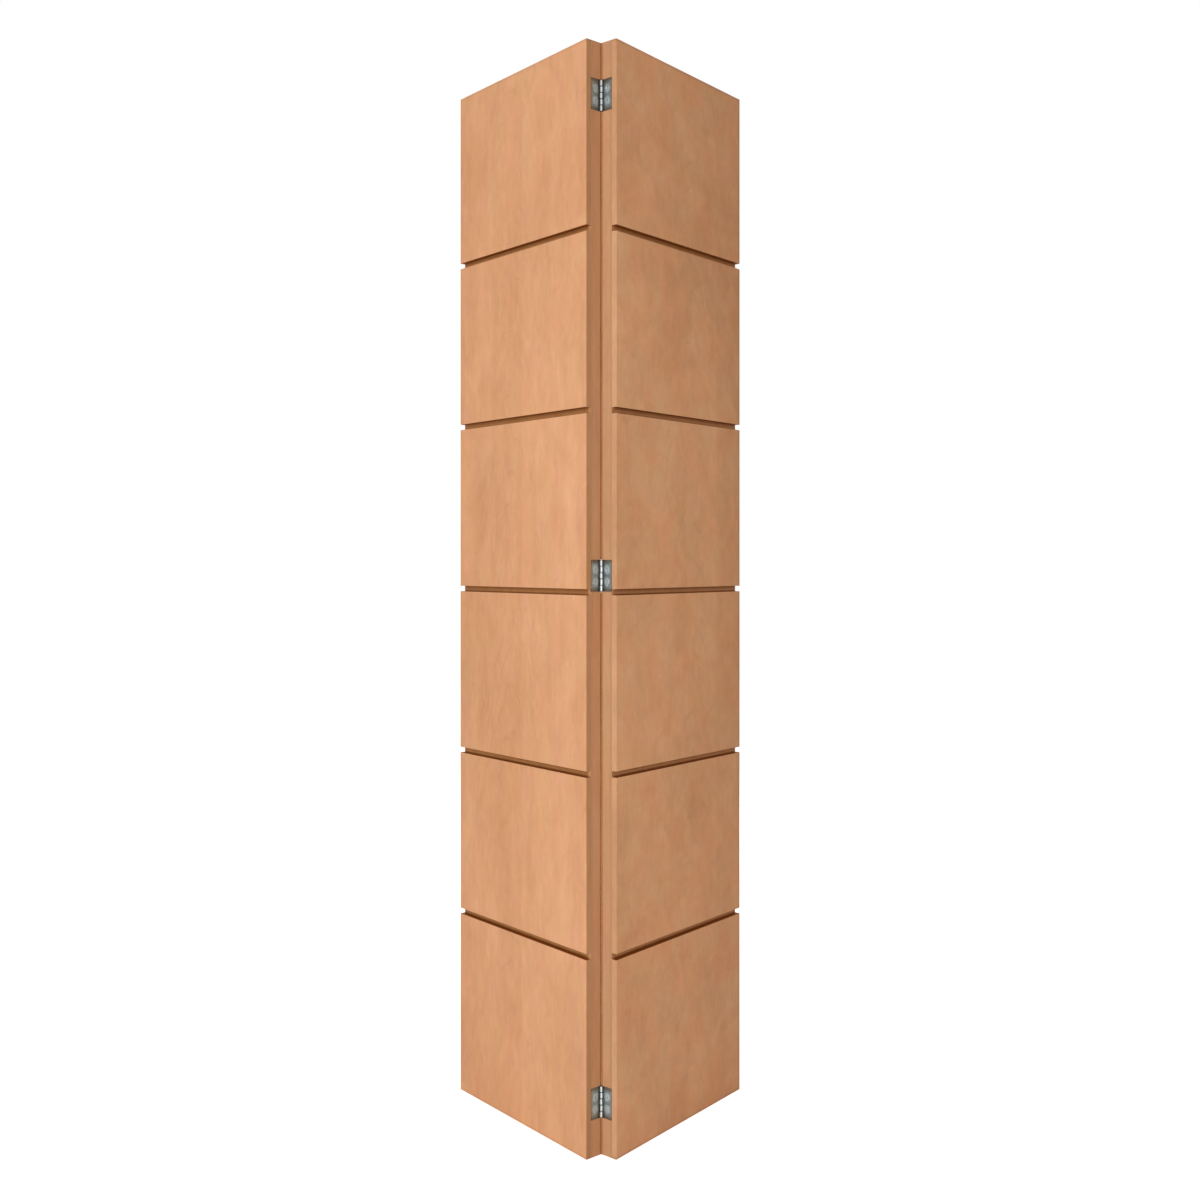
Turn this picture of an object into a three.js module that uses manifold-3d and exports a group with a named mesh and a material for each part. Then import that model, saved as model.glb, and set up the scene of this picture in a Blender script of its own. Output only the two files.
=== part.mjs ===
// A bifold closet door: two hollow-core panels, faced with boards that leave
// horizontal grooves between them, joined by three five-knuckle butt hinges.
// It stands folded to a V, with the meeting edges towards -Y.
//
// Millimetres, +Z up. The origin is on the floor, in the middle of the folded
// door. Each panel is drawn in a frame of its own before it is turned: x runs
// from the hinge pins' axis to the panel's outer edge, a depth is measured
// from that axis towards the face (local -Y), and z is the height.

import * as THREE from 'three';
import { mergeVertices } from 'three/addons/utils/BufferGeometryUtils.js';
import Module from 'manifold-3d';

// Door
const doorHeight = 2007;
const panelWidth = 400;
const panelThickness = 35;
const restTurn = THREE.MathUtils.degToRad(50.2); // of each panel, from flat

// Clearances
const glueGap = 0.3; // between pieces that are glued or seated on each other
const meetingGap = 0.1; // between the meeting edges of the flat door
const backGap = 0.06; // between the backs of the door folded right up
const overrun = 5; // of a cut past the face it opens in

// Face boards
const boardThickness = 10.6;
const grooveWidth = 11;
const grooveCount = 5;
const groovePitch = 326.5;
const lowestGrooveHeight = 362.5;
const boardArris = 0.6;

// Slab behind the boards
const skinThickness = 2.5;
const stileWidth = 32;
const railHeight = 60;
const honeycombCell = 110;
const paperThickness = 1.2;

// Bores for the pivots and the guide, in the ends of the rails
const pivotBoreDiameter = 9.6;
const pivotBoreDepth = 40;
const pivotInset = 50; // from the panel's outer edge

// Hinges
const hingeLength = 57;
const leafReach = 24; // from the pin's axis to the leaf's outer edge
const leafThickness = 1.4;
const leafCornerRadius = 2;
const knuckleCount = 5;
const knuckleGap = 0.6;
const knuckleRoom = 1.2; // round the other leaf's knuckles, where a leaf is cut out
const barrelDiameter = 5.6;
const pinDiameter = 2.4;
const pinClearance = 0.3;
const pinHeadDiameter = 4.4;
const pinHeadThickness = 0.7;
const pinHeadBevel = 0.3;
const endHingeInset = 95.5; // from the door's ends to the centre of a hinge
const middleHingeHeight = 1045;

// Hinge screws
const screwSpacing = 22;
const screwDepth = 13.4; // of their centre line, from the pin's axis
const screwHeadDiameter = 9;
const screwHeadLip = 0.3;
const screwShankDiameter = 4.2;
const screwLength = 20;
const screwTipLength = 3;
const screwClearance = 0.3;

// Facets round a circle, and round a leaf's corner
const barrelSegments = 20;
const holeSegments = 12;
const leafCornerSegments = 4;

// Places that follow from the sizes above
const edgePlane = meetingGap / 2;
const outerPlane = edgePlane + panelWidth;
const backFace = backGap / 2;
const frontFace = backFace + panelThickness;
const backSkin = [backFace, backFace + skinThickness];
const boardDepths = [frontFace - boardThickness, frontFace];
const frontSkin = [boardDepths[0] - glueGap - skinThickness, boardDepths[0] - glueGap];
const frame = [backSkin[1] + glueGap, frontSkin[0] - glueGap];
const frameMiddle = (frame[0] + frame[1]) / 2;
const barrelRadius = barrelDiameter / 2;
const leafFaces = [edgePlane, edgePlane + leafThickness];
const mortiseFloor = leafFaces[1] + glueGap;
const hingeHeights = {
  top: doorHeight - endHingeInset,
  middle: middleHingeHeight,
  bottom: endHingeInset,
};
const screwOffsets = { upper: screwSpacing / 2, lower: -screwSpacing / 2 };

const veneer = new THREE.MeshStandardMaterial({ color: 0xd7a57a, roughness: 0.6, metalness: 0 });
const fibreboard = new THREE.MeshStandardMaterial({ color: 0x8a5c3a, roughness: 0.8, metalness: 0 });
const frameTimber = new THREE.MeshStandardMaterial({ color: 0xc99466, roughness: 0.7, metalness: 0 });
const kraftPaper = new THREE.MeshStandardMaterial({ color: 0xb08a5c, roughness: 0.9, metalness: 0 });
const zincPlate = new THREE.MeshStandardMaterial({ color: 0xb9bcc0, roughness: 0.35, metalness: 1 });

// Solids

const wasm = await Module();
wasm.setup();

const xAxis = new THREE.Vector3(1, 0, 0);
const yAxis = new THREE.Vector3(0, 1, 0);
const zAxis = new THREE.Vector3(0, 0, 1);

// A turned profile that starts on its axis has triangles there with two corners
// in one point: they are left out.
function toSolid(geometry) {
  const bare = geometry.clone();
  bare.deleteAttribute('normal');
  bare.deleteAttribute('uv');
  const merged = mergeVertices(bare);
  const corners = merged.index.array;
  const triVerts = [];
  for (let i = 0; i < corners.length; i += 3) {
    const [a, b, c] = corners.slice(i, i + 3);
    if (a !== b && b !== c && c !== a) {
      triVerts.push(a, b, c);
    }
  }
  return new wasm.Manifold(new wasm.Mesh({
    numProp: 3,
    vertProperties: Float32Array.from(merged.attributes.position.array),
    triVerts: Uint32Array.from(triVerts),
  }));
}

function toGeometry(solid) {
  const { vertProperties, triVerts } = solid.getMesh();
  const geometry = new THREE.BufferGeometry();
  geometry.setAttribute('position', new THREE.BufferAttribute(vertProperties, 3));
  geometry.setIndex(new THREE.BufferAttribute(triVerts, 1));
  return geometry;
}

// The same shape with x reversed, its triangles wound back to face outwards.
function mirrored(geometry) {
  const image = geometry.clone().scale(-1, 1, 1);
  const corners = image.index.array;
  for (let i = 0; i < corners.length; i += 3) {
    [corners[i], corners[i + 1]] = [corners[i + 1], corners[i]];
  }
  return image;
}

// A shape drawn in x and z, given its thickness between two depths.
function plate(shape, [nearBack, nearFront], options = { bevelEnabled: false }) {
  return new THREE.ExtrudeGeometry(shape, { ...options, depth: nearFront - nearBack })
    .rotateX(Math.PI / 2)
    .translate(0, -nearBack, 0);
}

function rectangle([left, right], [low, high]) {
  return new THREE.Shape([
    new THREE.Vector2(left, low),
    new THREE.Vector2(right, low),
    new THREE.Vector2(right, high),
    new THREE.Vector2(left, high),
  ]);
}

function block(xs, depths, zs) {
  return toSolid(plate(rectangle(xs, zs), depths));
}

// A round bar that stands on a height, at x and a depth.
function post(radius, [low, high], segments, x = 0, depth = 0) {
  return toSolid(new THREE.CylinderGeometry(radius, radius, high - low, segments)
    .rotateX(Math.PI / 2)
    .translate(x, -depth, (low + high) / 2));
}

// A turned shape whose profile runs along x, on a centre line at a depth and height.
function turned(profile, segments, depth, height) {
  return toSolid(new THREE.LatheGeometry(profile, segments)
    .rotateZ(-Math.PI / 2)
    .translate(0, -depth, height));
}

// Panels

function grooveHeight(index) {
  return lowestGrooveHeight + index * groovePitch;
}

// The face boards, from the top one down.
function faceBoards() {
  const lips = [0];
  for (let i = 0; i < grooveCount; i += 1) {
    lips.push(grooveHeight(i) - grooveWidth / 2, grooveHeight(i) + grooveWidth / 2);
  }
  lips.push(doorHeight);
  const boards = [];
  for (let i = 0; i < lips.length; i += 2) {
    boards.unshift(faceBoard([lips[i], lips[i + 1]]));
  }
  return boards;
}

// One board, its front arrises eased and its glued back left square.
function faceBoard(zs) {
  const eased = plate(
    rectangle([edgePlane, outerPlane], zs),
    [boardDepths[0], boardDepths[1] - boardArris],
    {
      bevelThickness: boardArris,
      bevelSize: boardArris,
      bevelOffset: -boardArris,
      bevelSegments: 2,
    },
  );
  const behind = block(
    [edgePlane - overrun, outerPlane + overrun],
    [boardDepths[0] - overrun, boardDepths[0]],
    [zs[0] - overrun, zs[1] + overrun],
  );
  return toSolid(eased).subtract(behind);
}

// What the three hinges take out of a panel: a mortise for the leaf, and a
// round relief for the barrel with its pin heads.
function hingeSeats() {
  const halfLength = hingeLength / 2 + glueGap;
  const halfRelief = hingeLength / 2 + pinHeadThickness + 2 * glueGap;
  return Object.values(hingeHeights).map((height) => {
    const mortise = block(
      [edgePlane - overrun, mortiseFloor],
      [backFace - overrun, boardDepths[0]],
      [height - halfLength, height + halfLength],
    );
    const relief = post(
      barrelRadius + glueGap,
      [height - halfRelief, height + halfRelief],
      barrelSegments,
    );
    return mortise.add(relief);
  });
}

function withoutHinges(solid) {
  return hingeSeats().reduce((rest, seat) => rest.subtract(seat), solid);
}

function skin(depths) {
  return withoutHinges(block([edgePlane, outerPlane], depths, [0, doorHeight]));
}

function hingeStile() {
  let stile = withoutHinges(block([edgePlane, edgePlane + stileWidth], frame, [0, doorHeight]));
  const boreRadius = screwShankDiameter / 2 + screwClearance;
  const boreEnd = edgePlane + screwLength + screwClearance;
  const bore = [
    new THREE.Vector2(0, 0),
    new THREE.Vector2(boreRadius, 0),
    new THREE.Vector2(boreRadius, boreEnd),
    new THREE.Vector2(0, boreEnd),
  ];
  for (const height of Object.values(hingeHeights)) {
    for (const offset of Object.values(screwOffsets)) {
      for (const profile of [bore, countersink()]) {
        stile = stile.subtract(turned(profile, holeSegments, screwDepth, height + offset));
      }
    }
  }
  return stile;
}

function outerStile() {
  return block([outerPlane - stileWidth, outerPlane], frame, [0, doorHeight]);
}

const railSpan = [edgePlane + stileWidth + glueGap, outerPlane - stileWidth - glueGap];

// A rail between the stiles. end is 1 at the top of the door, -1 at the bottom,
// and a bored rail takes a pivot or a guide from that end.
function rail(end, bored) {
  const outside = end > 0 ? doorHeight : 0;
  const heights = (from, to) => [outside - end * from, outside - end * to].sort((a, b) => a - b);
  const solid = block(railSpan, frame, heights(0, railHeight));
  if (!bored) {
    return solid;
  }
  const bore = post(
    pivotBoreDiameter / 2,
    heights(-overrun, pivotBoreDepth),
    barrelSegments,
    outerPlane - pivotInset,
    frameMiddle,
  );
  return solid.subtract(bore);
}

// The paper core: six-sided cells in staggered rows, cut off at its border.
function honeycomb() {
  const zs = [railHeight + glueGap, doorHeight - railHeight - glueGap];
  const width = railSpan[1] - railSpan[0];
  const height = zs[1] - zs[0];
  const columns = Math.max(1, Math.round(width / honeycombCell));
  const cellWidth = width / columns;
  const rows = Math.max(2, Math.round(height / (cellWidth * Math.sqrt(3) / 2)));
  const rowPitch = height / rows;
  const openWidth = cellWidth - paperThickness;
  const openRadius = rowPitch * 2 / 3 * openWidth / cellWidth;
  const cells = [];
  for (let row = 0; row <= rows; row += 1) {
    const shifted = row % 2;
    for (let column = 0; column < columns + shifted; column += 1) {
      const x = railSpan[0] + (column + (1 - shifted) / 2) * cellWidth;
      const z = zs[0] + row * rowPitch;
      cells.push(new THREE.Shape([
        new THREE.Vector2(x, z - openRadius),
        new THREE.Vector2(x + openWidth / 2, z - openRadius / 2),
        new THREE.Vector2(x + openWidth / 2, z + openRadius / 2),
        new THREE.Vector2(x, z + openRadius),
        new THREE.Vector2(x - openWidth / 2, z + openRadius / 2),
        new THREE.Vector2(x - openWidth / 2, z - openRadius / 2),
      ]));
    }
  }
  const border = ([low, high]) => [low + paperThickness, high - paperThickness];
  const through = [frame[0] - overrun, frame[1] + overrun];
  const openings = toSolid(plate(cells, through)).intersect(block(border(railSpan), through, border(zs)));
  return block(railSpan, frame, zs).subtract(openings);
}

// Hinges

// The heights of one knuckle of a hinge centred on a height, moved out by a
// margin where it meets a neighbour and by another at the barrel's ends.
function knuckleHeights(height, index, margin, endMargin) {
  const length = hingeLength / knuckleCount;
  const low = height - hingeLength / 2 + index * length;
  const last = knuckleCount - 1;
  return [
    low - (index === 0 ? endMargin : margin),
    low + length + (index === last ? endMargin : margin),
  ];
}

// A leaf's flat outline, drawn in y and z, with its outer corners rounded.
function leafOutline(height) {
  const low = height - hingeLength / 2;
  const high = height + hingeLength / 2;
  const cornerY = leafCornerRadius - leafReach;
  return new THREE.Shape()
    .moveTo(0, low)
    .lineTo(cornerY, low)
    .absarc(cornerY, low + leafCornerRadius, leafCornerRadius, -Math.PI / 2, -Math.PI, true)
    .absarc(cornerY, high - leafCornerRadius, leafCornerRadius, Math.PI, Math.PI / 2, true)
    .lineTo(0, high);
}

// A leaf carries every other knuckle, from the lowest one (first = 0) or the
// one above it (first = 1), and makes room for the other leaf's.
function hingeLeaf(height, first) {
  const flat = new THREE.ExtrudeGeometry(leafOutline(height), {
    depth: leafThickness,
    bevelEnabled: false,
    curveSegments: leafCornerSegments,
  });
  flat.applyMatrix4(new THREE.Matrix4().makeBasis(yAxis, zAxis, xAxis));
  let leaf = toSolid(flat.translate(leafFaces[0], 0, 0));
  for (let i = 0; i < knuckleCount; i += 1) {
    if (i % 2 === first) {
      const knuckle = knuckleHeights(height, i, -knuckleGap / 2, 0);
      leaf = leaf.add(post(barrelRadius, knuckle, barrelSegments));
    } else {
      const room = knuckleHeights(height, i, knuckleGap / 2, overrun);
      leaf = leaf.subtract(post(barrelRadius + knuckleRoom, room, barrelSegments));
    }
  }
  const bore = [height - hingeLength / 2 - overrun, height + hingeLength / 2 + overrun];
  leaf = leaf.subtract(post(pinDiameter / 2 + pinClearance, bore, barrelSegments));
  for (const offset of Object.values(screwOffsets)) {
    leaf = leaf.subtract(turned(countersink(), holeSegments, screwDepth, height + offset));
  }
  return leaf;
}

// Half sections along x, as radius and x: the 45 degree head of a screw sits
// flush in the leaf's face.
const headRadius = screwHeadDiameter / 2;
const shankRadius = screwShankDiameter / 2;
const headLipEnd = edgePlane + screwHeadLip;
const headConeEnd = headLipEnd + headRadius - shankRadius;

function countersink() {
  return [
    new THREE.Vector2(0, edgePlane - overrun),
    new THREE.Vector2(headRadius + screwClearance, edgePlane - overrun),
    new THREE.Vector2(headRadius + screwClearance, headLipEnd),
    new THREE.Vector2(shankRadius + screwClearance, headConeEnd),
    new THREE.Vector2(shankRadius + screwClearance, headConeEnd + overrun),
    new THREE.Vector2(0, headConeEnd + overrun),
  ];
}

function screw(height) {
  const profile = [
    new THREE.Vector2(0, edgePlane),
    new THREE.Vector2(headRadius, edgePlane),
    new THREE.Vector2(headRadius, headLipEnd),
    new THREE.Vector2(shankRadius, headConeEnd),
    new THREE.Vector2(shankRadius, edgePlane + screwLength - screwTipLength),
    new THREE.Vector2(0, edgePlane + screwLength),
  ];
  return turned(profile, holeSegments, screwDepth, height);
}

// The pin, with a head riveted just past each end of the barrel.
function hingePin(height) {
  const shankEnd = hingeLength / 2 + glueGap;
  const pinEnd = shankEnd + pinHeadThickness;
  const pinRadius = pinDiameter / 2;
  const pinHeadRadius = pinHeadDiameter / 2;
  const upperHalf = [
    new THREE.Vector2(pinRadius, shankEnd),
    new THREE.Vector2(pinHeadRadius, shankEnd),
    new THREE.Vector2(pinHeadRadius, pinEnd - pinHeadBevel),
    new THREE.Vector2(pinHeadRadius - pinHeadBevel, pinEnd),
    new THREE.Vector2(0, pinEnd),
  ];
  const lowerHalf = upperHalf.map(({ x, y }) => new THREE.Vector2(x, -y)).reverse();
  return toSolid(new THREE.LatheGeometry([...lowerHalf, ...upperHalf], barrelSegments)
    .rotateX(Math.PI / 2)
    .translate(0, 0, height));
}

// Assembly

const sides = {
  left: { sign: -1, firstKnuckle: 0, pivoted: true },
  right: { sign: 1, firstKnuckle: 1, pivoted: false },
};
const door = new THREE.Group();

for (const [side, { sign, firstKnuckle, pivoted }] of Object.entries(sides)) {
  const panel = new THREE.Group();
  panel.rotation.z = sign * restTurn;
  door.add(panel);

  const place = (name, solid, material) => {
    const geometry = toGeometry(solid);
    const piece = new THREE.Mesh(sign < 0 ? mirrored(geometry) : geometry, material);
    piece.name = name;
    panel.add(piece);
  };

  faceBoards().forEach((board, i) => place(`${side}_face_board_${i + 1}`, board, veneer));
  place(`${side}_front_skin`, skin(frontSkin), veneer);
  place(`${side}_back_skin`, skin(backSkin), fibreboard);
  place(`${side}_hinge_stile`, hingeStile(), frameTimber);
  place(`${side}_outer_stile`, outerStile(), frameTimber);
  place(`${side}_top_rail`, rail(1, true), frameTimber);
  place(`${side}_bottom_rail`, rail(-1, pivoted), frameTimber);
  place(`${side}_honeycomb_core`, honeycomb(), kraftPaper);

  for (const [which, height] of Object.entries(hingeHeights)) {
    place(`${which}_hinge_${side}_leaf`, hingeLeaf(height, firstKnuckle), zincPlate);
    for (const [position, offset] of Object.entries(screwOffsets)) {
      place(`${which}_hinge_${side}_${position}_screw`, screw(height + offset), zincPlate);
    }
    if (pivoted) {
      place(`${which}_hinge_pin`, hingePin(height), zincPlate);
    }
  }
}

const bounds = new THREE.Box3().setFromObject(door, true);
door.position.y = -(bounds.min.y + bounds.max.y) / 2;

export default door;
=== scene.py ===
"""A bifold closet door of two veneered panels and three butt hinges, folded to a V on a pale floor.

The CAD nodes of the panels keep their shapes and get timber, veneer and board materials. The hinge
leaves, pins and screws are modelled again here with finer edges, at the places of their CAD nodes.
"""

import math
import random

import bmesh
import bpy
from mathutils import Matrix, Vector


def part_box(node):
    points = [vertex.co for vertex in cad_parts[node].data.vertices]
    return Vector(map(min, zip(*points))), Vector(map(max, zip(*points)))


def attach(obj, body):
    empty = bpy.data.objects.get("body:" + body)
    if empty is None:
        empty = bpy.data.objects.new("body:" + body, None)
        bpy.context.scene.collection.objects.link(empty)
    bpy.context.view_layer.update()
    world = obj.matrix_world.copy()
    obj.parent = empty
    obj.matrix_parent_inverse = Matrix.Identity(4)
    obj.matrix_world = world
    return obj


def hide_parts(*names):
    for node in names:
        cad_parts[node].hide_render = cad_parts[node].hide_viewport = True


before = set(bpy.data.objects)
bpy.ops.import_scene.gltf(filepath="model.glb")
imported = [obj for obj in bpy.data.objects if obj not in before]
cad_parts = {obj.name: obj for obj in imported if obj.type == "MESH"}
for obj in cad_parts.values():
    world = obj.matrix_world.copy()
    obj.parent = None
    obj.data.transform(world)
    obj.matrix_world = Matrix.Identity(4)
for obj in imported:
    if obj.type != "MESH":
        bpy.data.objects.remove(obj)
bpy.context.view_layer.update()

MM = 0.001

# Place of the panels: the pins' axis, and how far each panel is turned from flat

PIN_AXIS = sum(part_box("middle_hinge_pin"), Vector()) / 2
REST_TURN = math.radians(50.2)
PANEL_ANGLE = {"right": REST_TURN, "left": math.pi - REST_TURN}


def panel_matrix(side):
    """From a panel's own frame, in millimetres, to the row frame. There x runs from the pins' axis
    to the outer edge, y is the depth towards the face, and z is the height."""
    turn = Matrix.Rotation(PANEL_ANGLE[side], 4, "Z")
    flip = Matrix.Scale(-1 if side == "right" else 1, 4, Vector((0, 1, 0)))
    place = Matrix.Translation(Vector((PIN_AXIS.x, PIN_AXIS.y, 0)))
    return place @ turn @ flip @ Matrix.Scale(MM, 4)


# Hinges, in a panel's own frame in millimetres

HINGE_LENGTH = 57
LEAF_REACH = 24
LEAF_FACES = (0.05, 1.45)
LEAF_CORNER = 2
KNUCKLES = 5
KNUCKLE_GAP = 0.6
KNUCKLE_ROOM = 1.2
BARREL_RADIUS = 2.8
BARREL_BORE = 1.5
PIN_RADIUS = 1.2
PIN_HEAD_RADIUS = 2.2
PIN_HEAD_THICKNESS = 0.7
PIN_HEAD_RIM = 0.25
CROWN_STEPS = 6
PIN_GAP = 0.3
SCREW_DEPTH = 13.4
SCREW_OFFSETS = {"upper": 11, "lower": -11}
SCREW_HEAD_RADIUS = 4.5
SCREW_HEAD_LIP = 0.3
SCREW_SHANK_RADIUS = 2.1
SCREW_LENGTH = 20
SCREW_CLEARANCE = 0.3
SINK_DEPTH = 4
CUT_OVERLAP = 1
EDGE_BREAK = 0.14
WELD_DISTANCE = 0.002
FLAT_ANGLE = math.radians(0.5)
SHARP_ANGLE = math.radians(40)
SMOOTH_ANGLE = math.radians(32)
CORNER_STEPS = 8
ROUND = 48
# The barrel's colour is a painted highlight on the same zinc as the leaves. The leaves' and screws'
# colours by side are shaded and lit copies of one zinc, with painted reflection tints.
BARREL_HIGHLIGHT_COLOUR = "d8dbda"
LEAF_SHADED_AND_LIT_COLOURS = {"left": "8a8b84", "right": "8f9a9f"}
SCREW_HIGHLIGHT_GAIN = {"left": 0.85, "right": 1.1}
SCREW_SHADED_AND_LIT_COLOURS = {"left": "b9bdb7", "right": "d3d9dc"}
BARREL_SHADE_TONES = {"left": 0.20, "right": 0.40}


# Materials

RED_POWER = 0.76
BLUE_POWER = 1.32


class Look:
    """One material, with short calls that add its nodes and link them."""

    def __init__(self, name):
        self.material = bpy.data.materials.new(name)
        self.material.use_nodes = True
        self.tree = self.material.node_tree
        self.shader = self.tree.nodes["Principled BSDF"]

    def node(self, kind, inputs=None, **settings):
        made = self.tree.nodes.new(kind)
        for key, value in settings.items():
            setattr(made, key, value)
        for key, value in (inputs or {}).items():
            self.set(made.inputs[key], value)
        return made

    def set(self, socket, value):
        if isinstance(value, bpy.types.NodeSocket):
            self.tree.links.new(value, socket)
        else:
            socket.default_value = value

    def math(self, operation, *values):
        made = self.node("ShaderNodeMath", operation=operation)
        for socket, value in zip(made.inputs, values):
            self.set(socket, value)
        return made.outputs[0]

    def sum(self, *values):
        total = values[0]
        for value in values[1:]:
            total = self.math("ADD", total, value)
        return total

    def vector(self, x, y, z):
        return self.node("ShaderNodeCombineXYZ", {"X": x, "Y": y, "Z": z}).outputs[0]

    def scaled(self, vector, factors):
        made = self.node("ShaderNodeVectorMath", operation="MULTIPLY")
        self.set(made.inputs[0], vector[:3] if isinstance(vector, list) else vector)
        self.set(made.inputs[1], factors)
        return made.outputs[0]

    def noise(self, vector, detail=2.0, roughness=0.5, distortion=0.0):
        """Noise centred on 0, about from -1 to 1."""
        made = self.node(
            "ShaderNodeTexNoise",
            {
                "Vector": vector,
                "Scale": 1.0,
                "Detail": detail,
                "Roughness": roughness,
                "Distortion": distortion,
            },
        )
        return self.math("MULTIPLY_ADD", made.outputs["Fac"], 4.0, -2.0)

    def blend(self, factor, first, second):
        made = self.node("ShaderNodeMix", data_type="RGBA", blend_type="MIX")
        shown = [socket for socket in made.inputs if socket.enabled]
        for socket, value in zip(shown, (factor, first, second)):
            self.set(socket, value)
        return next(socket for socket in made.outputs if socket.enabled)

    def tint(self, colour, factor):
        """The colour times a factor that varies over the surface."""
        made = self.node("ShaderNodeVectorMath", operation="SCALE")
        self.set(made.inputs[0], colour[:3] if isinstance(colour, list) else colour)
        self.set(made.inputs["Scale"], factor)
        return made.outputs[0]

    def wood_tint(self, colour, factor):
        """The colour times a factor that changes red least and blue most, as wood darkens."""
        red = self.math("POWER", factor, RED_POWER)
        blue = self.math("POWER", factor, BLUE_POWER)
        return self.scaled(colour, self.vector(red, factor, blue))

    def steps(self, value, low, high):
        """0 below low, 1 above high, smooth in between."""
        made = self.node(
            "ShaderNodeMapRange",
            {"Value": value, "From Min": low, "From Max": high},
            interpolation_type="SMOOTHSTEP",
        )
        return made.outputs[0]

    def bump(self, height, distance, strength):
        """Raises the surface by height times distance, in metres."""
        made = self.node(
            "ShaderNodeBump", {"Height": height, "Distance": distance, "Strength": strength}
        )
        self.set(self.shader.inputs["Normal"], made.outputs[0])


def linear(hex_colour):
    """A colour as it is seen, such as "d7a57a", as Blender's linear RGBA."""
    channels = [int(hex_colour[i:i + 2], 16) / 255 for i in (0, 2, 4)]
    return [c / 12.92 if c <= 0.04045 else ((c + 0.055) / 1.055) ** 2.4 for c in channels] + [1.0]


def panel_place(look, side):
    """The place on a panel, in its own frame in metres, and the way the surface faces there."""
    source = look.node("ShaderNodeTexCoord")
    turn = {"Rotation": (0, 0, PANEL_ANGLE[side]), "Scale": (1, -1 if side == "right" else 1, 1)}
    place = look.node("ShaderNodeMapping", turn, vector_type="TEXTURE")
    place.inputs["Location"].default_value = (PIN_AXIS.x, PIN_AXIS.y, 0)
    look.set(place.inputs["Vector"], source.outputs["Object"])
    facing = look.node("ShaderNodeMapping", turn, vector_type="TEXTURE")
    look.set(facing.inputs["Vector"], source.outputs["Normal"])
    xyz = look.node("ShaderNodeSeparateXYZ", {"Vector": place.outputs[0]})
    normal = look.node("ShaderNodeSeparateXYZ", {"Vector": facing.outputs[0]})
    return xyz.outputs, normal.outputs


# Panels, in metres in a panel's own frame

DOOR_HEIGHT = 2.007
PANEL_REACH = 0.40005
LOWEST_GROOVE = 0.3625
GROOVE_PITCH = 0.3265
# Painted shade in a groove's corners and painted light where it runs out, as reaches in metres
LOWER_CORNER = (0.0014, 0.0050)
UPPER_CORNER = (-0.0030, 0.0050)
OPEN_END = (0.0035, 0.0110)
RIM = (0.0005, 0.0075)
SAWN_END = (0.006, 0.003)
JOINT_BLUR = 0.0015

# How squarely a surface faces along an axis before it counts as the face, or as end grain

FACE_SHARE = (0.75, 0.95)
END_SHARE = (0.50, 0.80)

# Wood noises: features per metre across the grain, into the board and along it. The mottled ones
# have one value, and a panel's stretch makes them longer along the grain.

MOTTLED = {"patch": 22.0, "cloud": 52.0, "warm": 16.0, "blotch": 31.0}
GRAINED = {
    "wide": (6.0, 6.0, 2.5),
    "warm_bands": (70.0, 70.0, 2.5),
    "waver": (9.0, 9.0, 4.0),
    "ripple": (45.0, 45.0, 16.0),
    "fine": (640.0, 640.0, 22.0),
    "coarse": (150.0, 150.0, 21.0),
    "band": (46.0, 46.0, 1.5),
    "streak": (96.0, 96.0, 38.0),
    "pores": (520.0, 520.0, 40.0),
    "end_lines": (900.0, 900.0, 40.0),
    "fuzz": (700.0, 700.0, 700.0),
    "stain": (5.0, 5.0, 6.5),
}

# How much of each goes into the tone

TONE_SHARES = {
    "wide": 0.050,
    "patch": 0.056,
    "cloud": 0.041,
    "band": 0.045,
    "ring_lines": 0.030,
    "ring_edge": -0.095,
    "coarse": 0.020,
    "fine": 0.012,
    "fine_dashes": 0.016,
    "dark_dash": -0.110,
    "light_dash": 0.095,
    "pores": -0.060,
}

# Growth rings: where their arches are centred across the panel, and how fast the rings follow

ARCH_CENTRE = 0.23
ARCH_BOW = 520.0
RINGS_ALONG = 17.0
RINGS_DEEP = 160.0
RINGS_WAVER = 0.9
RINGS_RIPPLE = 0.16
RING_EDGE = (0.40, 0.50)
RING_EDGE_SHOWS = (-0.4, 0.8)

# Fibres and dashes: how far they follow the figure in metres, and where a streak becomes a dash

DRIFT_WAVER = 0.004
DRIFT_RIPPLE = 0.0012
DARK_DASH = (0.30, 1.10)
LIGHT_DASH = (0.25, 1.10)
PORE = (0.62, 1.15)

# Hue: the reach from pink to straw, the bands' yellow, and where the painted shade across a face is
# nil

HUE_REACH = 0.048
HUE_RED = 0.2
HUE_GREEN = 0.7
HUE_WARM = (-0.9, 0.9)
YELLOW_GREEN = 0.019
YELLOW_BLUE = -0.028
LEAN_PIVOT = 0.17

# Painted light: how much lighter end grain that faces up is, and darker end grain that faces down
END_WALL_PAINTED_LIGHT = 0.13
END_LINES_SHARE = 0.06
END_RINGS_SHARE = 0.10
FUZZ_SHARE = 0.07
WOOD_ROUGHNESS = 0.58
COARSE_ROUGHENS = 0.03
PORES_ROUGHEN = 0.10
WOOD_SPECULAR = 0.14
RELIEF_SHARES = {"fine": 0.5, "coarse": 0.4, "dark_dash": -0.8, "pores": -1.2}
WOOD_RELIEF = 0.00004
RELIEF_STRENGTH = 0.6


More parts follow.
